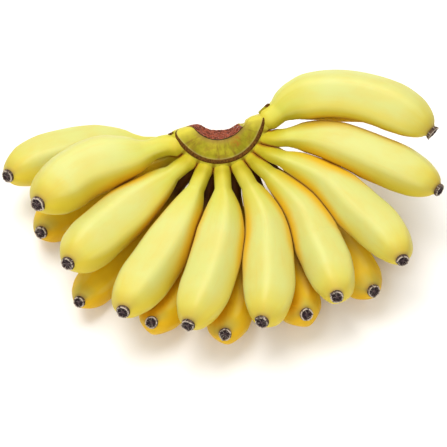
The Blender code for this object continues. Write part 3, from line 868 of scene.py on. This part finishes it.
# %% Measures of the crown
SCAR_RADIUS, WEB_RADIUS = 32.0 * MM, 37.0 * MM
CROWN_FROM, CROWN_TO, CROWN_END_ROUND, CROWN_END_SIZE = -72.0, 97.0, 9.0, 0.5
CROWN_TOP, CROWN_FLOOR, WEB_TOP = 15.0 * MM, -17.0 * MM, 10.6 * MM
SCAR_WIDTH, SCAR_HEIGHT, SCAR_TAPER = 2.5 * MM, 0.8 * MM, 26.0
CUT_RIM, CUT_RIM_SPREAD = 15.2 * MM, 4.6 * MM
CUT_FOOT, CUT_FOOT_SPREAD = 9.9 * MM, 7.5 * MM
CUT_END_FROM, CUT_END_TO = 71.0, 79.0   # where the cut closes at the right
SKEW, SKEW_FROM = 13.0, 60.0        # at the right end the inner side falls short of the outer
CREASE_DEPTH, CREASE_WIDTH = 1.3 * MM, 3.2
CROWN_STEPS = 260
WEB_HEIGHTS = (-15.0, -12.0, -8.0, -4.0, 0.0, 4.0, 7.0)     # in millimetres
# how far in across the scar, and how high, as shares of its width and height
SCAR_PROFILE = ((0.0, 0.3), (0.25, 0.8), (0.5, 1.0), (0.8, 0.9), (1.0, 0.5))
SKIN_POINTS, SKIN_FALL, SKIN_SWELL = 12, 2.4 * MM, 0.7
CUT_POINTS, CUT_BELOW, CUT_SLOPE = 22, 7.0 * MM, 1.2


def seats(row):
    """Angles of a row's stalks as the crown's own middle sees them."""
    starts = [SPINES[finger["name"]].points[0] - CROWN_MIDDLE for finger in FINGERS if finger["row"] == row]
    return sorted(math.degrees(math.atan2(start @ RIGHT, start @ FRONT)) for start in starts)


SEATS = {row: seats(row) for row in ROW_OFFSET}


def crease(angle, row):
    """1 midway between two stalks of a row, 0 on a stalk."""
    gaps = [(first + second) / 2 for first, second in zip(SEATS[row], SEATS[row][1:])]
    return max(math.exp(-((angle - gap) / CREASE_WIDTH) ** 2) for gap in gaps)


def crown_section(angle):
    """Points of the section at an angle: distance from the middle, height, label, and share of the skin."""
    wall, top_gap, under_gap = WEB_RADIUS, crease(angle, "top"), crease(angle, "under")
    taper = max(0.0, min(1.0, min(angle - CROWN_FROM, CROWN_TO - angle) / SCAR_TAPER)) ** 0.5
    band, band_in = SCAR_RADIUS, SCAR_RADIUS - SCAR_WIDTH * max(taper, 0.3)
    spread_out = (angle / 90.0) ** 2
    rim, foot = CUT_RIM + CUT_RIM_SPREAD * spread_out, CUT_FOOT + CUT_FOOT_SPREAD * spread_out
    foot += (rim - foot) * float(smooth_step((angle - CUT_END_FROM) / (CUT_END_TO - CUT_END_FROM)))
    points = [(wall - CREASE_DEPTH * (under_gap if height < -1 else top_gap), height * MM, "web", 0.0)
              for height in WEB_HEIGHTS]
    low = 0.8 * MM * top_gap
    points += [(wall - 0.8 * MM - CREASE_DEPTH * top_gap, WEB_TOP - 0.6 * MM - low, "web", 0.0),
               (wall - 2.2 * MM, WEB_TOP + 0.9 * MM - low, "web", 0.0),
               (band + 0.4 * MM, WEB_TOP + 1.7 * MM - 0.5 * low, "web", 0.0)]
    skin = CROWN_TOP - SKIN_FALL
    points += [(band + (band_in - band) * inward, skin + SCAR_HEIGHT * lift, "band", 0.0)
               for inward, lift in SCAR_PROFILE]
    for share in np.linspace(0.04, 0.95, SKIN_POINTS):
        height = skin + (2.2 * share + SKIN_SWELL * math.sin(math.pi * share)) * MM
        points.append((band_in + (rim - band_in) * share, height, "skin", share))
    points += [(rim + 0.5 * MM, CROWN_TOP, "lip", 1.0), (rim, CROWN_TOP - 0.4 * MM, "lip", 1.0)]
    for share in np.linspace(0.04, 1.0, CUT_POINTS):
        height = CROWN_TOP - (CROWN_TOP + CUT_BELOW) * share ** CUT_SLOPE
        points.append((rim + (foot - rim) * share, height, "cut", share))
    thick = wall - foot
    points += [(foot + 0.8 * MM, -9.5 * MM, "lip", 0.0), (foot + 2.5 * MM, -12 * MM, "skin", 0.0),
               (foot + thick * 0.2, -14.3 * MM, "skin", 0.0), (foot + thick * 0.4, -16 * MM, "skin", 0.0),
               (foot + thick * 0.6, CROWN_FLOOR, "skin", 0.0), (wall - 6 * MM, CROWN_FLOOR, "skin", 0.0),
               (wall - 2 * MM, CROWN_FLOOR + 0.5 * MM, "web", 0.0)]
    return points


def ring_angles(angle, outline):
    """The angle of each point of a section. At the right end the inner side falls short."""
    skew = SKEW * float(smooth_step((angle - SKEW_FROM) / (CROWN_TO - SKEW_FROM)))
    return angle - skew * (WEB_RADIUS - outline[:, 0]) / (WEB_RADIUS - CUT_FOOT)


print("points in the crown's section:", len(crown_section(0.0)))

# %% [markdown]
# The mesh stores which part each point belongs to, as masks, and how far it lies across the skin. The
# material uses them to lay tan tissue along the rim, brown on the scar, stalk yellow on the web and raw
# flesh in the cut. A slow noise makes the skin look grown, and a quick one frays the cut.

# %% Build the crown
ROUGH = {"web": 0.25, "band": 0.55, "skin": 0.35, "lip": 0.9, "cut": 1.0}      # in millimetres
# a rusty patch beside the cut
RUST_ANGLE, RUST_PLACE, RUST_SPREAD, RUST_ABOVE = 36.0, 20.5 * MM, 4.5 * MM, 8.0 * MM
CRUMBS_FROM, CRUMBS_FADE = 48.0, 10.0       # degrees from which dry crumbs cling to the cut
CUT_FADE_FROM, CUT_FADE = CUT_END_FROM - 3.0, 5.0
END_REACH = 36.0                    # degrees over which the crown's ends turn yellow


def grown(point, size):
    """Noise from -1 to 1 with features of the given size, in metres."""
    return noise.noise(Vector(point) / size)


def crown_mesh():
    """The skin of the crown, with a mask for each kind of tissue."""
    steps = np.linspace(CROWN_FROM, CROWN_TO, CROWN_STEPS)
    rings, places, labels, shares, rust, creases = [], [], [], [], [], []
    for angle in steps:
        section = crown_section(angle)
        outline = np.array([(r, h) for r, h, _, _ in section])
        middle = (outline.min(axis=0) + outline.max(axis=0)) / 2
        inset = min(angle - CROWN_FROM, CROWN_TO - angle) / CROWN_END_ROUND
        rounding = math.sqrt(1 - (1 - min(inset, 1.0)) ** 2)
        outline = middle + (CROWN_END_SIZE + (1 - CROWN_END_SIZE) * rounding) * (outline - middle)
        out = outline - middle
        out /= np.linalg.norm(out, axis=1, keepdims=True)
        turns = ring_angles(angle, outline)
        ways = np.array([radial(turn) for turn in turns])
        points = CROWN_MIDDLE + outline[:, :1] * ways + outline[:, 1:] * AXIS
        for k, (_, _, label, share) in enumerate(section):
            shake = 0.35 * grown(points[k], 9 * MM) + 0.25 * grown(points[k], 3.5 * MM)
            if label in ("cut", "lip"):
                along_rim = (0.35 * math.radians(angle) * outline[k, 0], 0.0, outline[k, 1])
                shake += 0.55 * grown(along_rim, 1.3 * MM) + 0.4 * grown(points[k], 1.1 * MM)
            points[k] += shake * ROUGH[label] * MM * (out[k, 0] * ways[k] + out[k, 1] * AXIS)
        rings.append(points)
        labels.append([label for _, _, label, _ in section])
        shares.append([share for _, _, _, share in section])
        away = np.hypot(outline[:, 0] * math.radians(angle - RUST_ANGLE), outline[:, 0] - RUST_PLACE)
        rust.append(np.exp(-(away / RUST_SPREAD) ** 2) * (outline[:, 1] > RUST_ABOVE))
        gaps = crease(angle, "top"), crease(angle, "under")
        creases.append(np.where(outline[:, 1] > -1 * MM, *gaps))
        turn, out_by = np.radians(turns), outline[:, 0]
        places.append(np.stack([out_by * np.sin(turn), out_by * np.cos(turn), outline[:, 1]], axis=-1))
    rings, labels = np.array(rings), np.array(labels).ravel()
    mesh = tube_mesh("crown_tissue", rings)
    angles = np.repeat(steps, len(section))
    open_cut = 1 - smooth_step((angles - CUT_FADE_FROM) / CUT_FADE)
    masks = {"web": labels == "web", "band": labels == "band", "share": shares, "rust": rust,
             "cut": (labels == "cut") * open_cut, "lip": (labels == "lip") * open_cut,
             "crumb": smooth_step((angles - CRUMBS_FROM) / CRUMBS_FADE), "crease": creases}
    for name, values in masks.items():
        store(mesh, name, values, ends=(0.0, 0.0))
    flat = np.array(places).reshape(-1, 3) / (10 * MM)
    store(mesh, "skin_place", np.vstack([flat, flat[:1], flat[-1:]]))
    polar = np.stack([np.radians(angles) * 2.2, np.hypot(flat[:, 0], flat[:, 1]), flat[:, 2]], axis=-1)
    store(mesh, "skin", np.vstack([polar, polar[:1], polar[-1:]]))
    to_end = np.minimum((angles - CROWN_FROM) * 1.3, CROWN_TO - angles)
    store(mesh, "end", 1 - smooth_step(to_end / END_REACH), ends=(1.0, 1.0))
    return mesh


print("the crown has", CROWN_STEPS, "steps round the axis")

# %% [markdown]
# The skin of the crown is olive green with soft brown patches, yellower at both ends. The scar is dark, dry
# and rough. The cut is raw flesh that has dried: red-brown, streaked along the rim, with pale fibre ends
# and a black edge.

# %% The crown material


def crown_material():
    made, tree, shader = start_material("crown_tissue")
    skin = place_on(tree, "skin")
    place = place_on(tree, "skin_place")
    web, band, cut, lip = (number(tree, label) for label in ("web", "band", "cut", "lip"))
    share, rust, end, gap = (number(tree, label) for label in ("share", "rust", "end", "crease"))
    shade = place_group(tree, CLOUDS, place, Scale=0.9, Detail=3.0, Low=0.35, High=0.65)
    colour = mix(tree, shade, (0.25, 0.22, 0.006), (0.42, 0.36, 0.016))
    patches = place_group(tree, CLOUDS, skin, Stretch=(2.6, 0.7, 0.7), Scale=1.5, Detail=4.0,
                          Low=0.46, High=0.76)
    colour = mix(tree, scaled(tree, patches, 0.85), colour, (0.17, 0.085, 0.008))
    blotches = place_group(tree, CLOUDS, place, Scale=1.6, Detail=3.0, Low=0.52, High=0.68)
    colour = mix(tree, scaled(tree, blotches, 0.40), colour, (0.24, 0.12, 0.014))
    rim_tan = spread(tree, share, 0.62, 0.95, 0.0, 0.85)
    tan = scaled(tree, rim_tan, math_node(tree, "SUBTRACT", 1.0, cut))
    tan = scaled(tree, tan, math_node(tree, "SUBTRACT", 1.0, scaled(tree, end, 0.8)))
    colour = mix(tree, tan, colour, (0.27, 0.17, 0.030))
    colour = mix(tree, scaled(tree, end, 0.85), colour, (0.62, 0.54, 0.06))
    fray = place_group(tree, CLOUDS, place, Scale=3.5, Detail=3.0, Low=0.3, High=0.7)
    rusty = scaled(tree, spread(tree, rust, 0.15, 0.9, 0.0, 0.9), fray)
    colour = mix(tree, rusty, colour, (0.34, 0.12, 0.010))
    fused = mix(tree, spread(tree, gap, 0.3, 1.0), (0.50, 0.43, 0.035), (0.33, 0.24, 0.014))
    colour = mix(tree, spread(tree, web, 0.2, 0.8), colour, fused)
    scar = mix(tree, place_group(tree, CLOUDS, skin, Stretch=(6.0, 3.0, 3.0), Scale=2.0, Low=0.3, High=0.7),
               (0.050, 0.018, 0.002), (0.14, 0.058, 0.006))
    inner_line = math_node(tree, "SUBTRACT", spread(tree, share, 0.0, 0.04), spread(tree, share, 0.05, 0.10))
    colour = mix(tree, scaled(tree, inner_line, 0.30), colour, (0.24, 0.17, 0.12))
    colour = mix(tree, spread(tree, band, 0.35, 0.8), colour, scar)
    flesh = place_group(tree, CLOUDS, skin, Stretch=(1.0, 4.0, 4.0), Scale=2.2, Detail=5.0,
                        Low=0.40, High=0.60)
    raw = mix(tree, flesh, (0.07, 0.014, 0.007), (0.33, 0.075, 0.035))
    flecks = place_group(tree, SPECKS, skin, Scale=6.5, Size=0.45, Share=0.40)
    raw = mix(tree, scaled(tree, flecks, 0.7), raw, (0.50, 0.21, 0.14))
    crumbs = place_group(tree, SPECKS, place, Scale=6.0, Size=0.50, Share=0.55)
    crumbly = scaled(tree, crumbs, spread(tree, number(tree, "crumb"), 0.3, 0.8, 0.0, 0.9))
    raw = mix(tree, crumbly, raw, (0.46, 0.38, 0.33))
    colour = mix(tree, spread(tree, cut, 0.2, 0.8), colour, raw)
    colour = mix(tree, spread(tree, lip, 0.3, 0.9), colour, (0.035, 0.014, 0.008))
    tree.links.new(colour, shader.inputs["Base Color"])
    rough = math_node(tree, "MAXIMUM", band, cut)
    tree.links.new(spread(tree, rough, 0.0, 1.0, 0.55, 0.85), shader.inputs["Roughness"])
    shader.inputs["Specular IOR Level"].default_value = 0.12
    relief = math_node(tree, "ADD", scaled(tree, flecks, cut), patches)
    bump(tree, shader, relief, 0.35, 0.5 * MM)
    return made


crown_finish = crown_material()
crown = add_object("crown_tissue", crown_mesh(), crown_finish)
dress(crown, "crown_tissue", "crown")
print("crown faces:", len(crown.data.polygons))

# %% [markdown]
# ## Remnants on the crown
# Two small dry bits are left at the ends of the scar: a short green stub with a brown end, and a dark flake.
# Each is a short bent tube that starts inside the crown.

# %% The stub and the flake
REMNANT_SIDES, REMNANT_RINGS = 16, 12
REMNANT_TAPER, REMNANT_BEND, REMNANT_FLATNESS, REMNANT_ROUND_FROM = 0.62, 0.12, 0.7, 0.8


def remnant(name, angle, distance, height, direction, length, thick, dark_from):
    """A short tapering tube on the crown. It darkens from a share of its length on."""
    start = CROWN_MIDDLE + distance * radial(angle) + height * AXIS
    way = direction / np.linalg.norm(direction)
    side = np.cross(way, AXIS)
    side /= np.linalg.norm(side)
    over = np.cross(side, way)
    turn = 2 * math.pi * np.arange(REMNANT_SIDES) / REMNANT_SIDES
    rings, dark = [], []
    for s in np.linspace(0, 1, REMNANT_RINGS):
        rounding = max(0.0, (s - REMNANT_ROUND_FROM) / (1 - REMNANT_ROUND_FROM))
        radius = thick / 2 * (1 - REMNANT_TAPER * s) * math.sqrt(max(0.02, 1 - rounding ** 2))
        middle = start + length * s * way + REMNANT_BEND * length * s * s * over
        across, up = np.cos(turn)[:, None], REMNANT_FLATNESS * np.sin(turn)[:, None]
        ring = middle + radius * (across * side + up * over)
        rings.append([point + 0.12 * thick * grown(point, 1.5 * MM) * over for point in ring])
        dark.append(np.full(REMNANT_SIDES, float(smooth_step((s - dark_from) / 0.3))))
    rings = np.array(rings)
    mesh = tube_mesh(name, rings)
    store(mesh, "band", dark, ends=(dark[0][0], 1.0))
    flat = (rings.reshape(-1, 3) - CROWN_MIDDLE) / (10 * MM)
    store(mesh, "skin", flat)
    store(mesh, "skin_place", flat)
    return mesh


stub = remnant("bract_stub", angle=92.5, distance=30.0 * MM, height=7.5 * MM,
               direction=radial(146) + 0.1 * AXIS, length=9.5 * MM, thick=6.2 * MM, dark_from=0.45)
flake = remnant("bract_flake", angle=-69.5, distance=32.0 * MM, height=9.5 * MM,
                direction=radial(-80), length=4.4 * MM, thick=2.4 * MM, dark_from=0.0)
for mesh in (stub, flake):
    dress(add_object(mesh.name, mesh, crown_finish), "crown_tissue")
print("remnants:", stub.name, flake.name)
